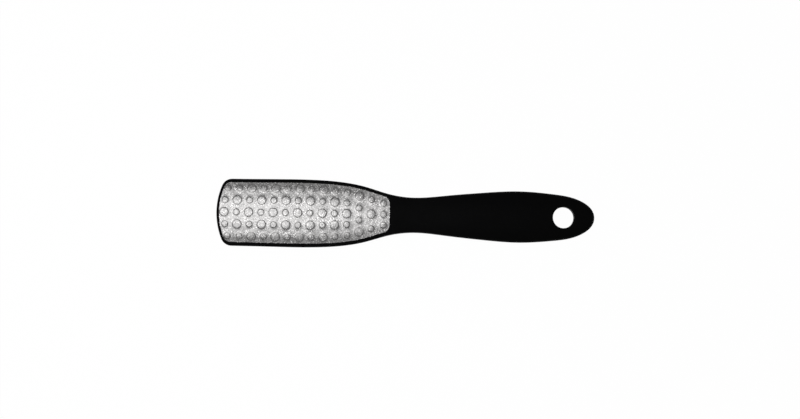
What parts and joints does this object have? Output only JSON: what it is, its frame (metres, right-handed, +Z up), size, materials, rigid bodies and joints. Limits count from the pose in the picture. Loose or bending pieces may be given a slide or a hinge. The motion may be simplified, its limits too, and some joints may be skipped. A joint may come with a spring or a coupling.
{
  "type": "foot file",
  "caption": "Black paddle foot file: a crowned nickel rasp plate with pressed bumps in front, a fine grit plate behind, a waisted neck and a swelling grip with a hanging hole.",
  "frame": {"origin": "centre of the tool's box in plan, on the surface that it lies on, rear plate down", "axes": "+X from the head towards the grip's end, +Y across the tool, +Z up out of the front plate"},
  "size_m": [0.25, 0.045, 0.0136],
  "materials": {
    "handle_plastic": "black moulded plastic with a fine matt grain",
    "coarse_nickel": "nickel-plated sheet with coarse bonded grit over pressed bumps",
    "fine_nickel": "nickel-plated sheet with fine bonded grit, plain",
    "adhesive": "pale double-sided adhesive film"
  },
  "bodies": {
    "root": {"front_shell": "handle_plastic", "rear_shell": "handle_plastic", "front_file_plate": "coarse_nickel", "rear_file_plate": "fine_nickel", "front_adhesive_pad": "adhesive", "rear_adhesive_pad": "adhesive"}
  },
  "joints": []
}
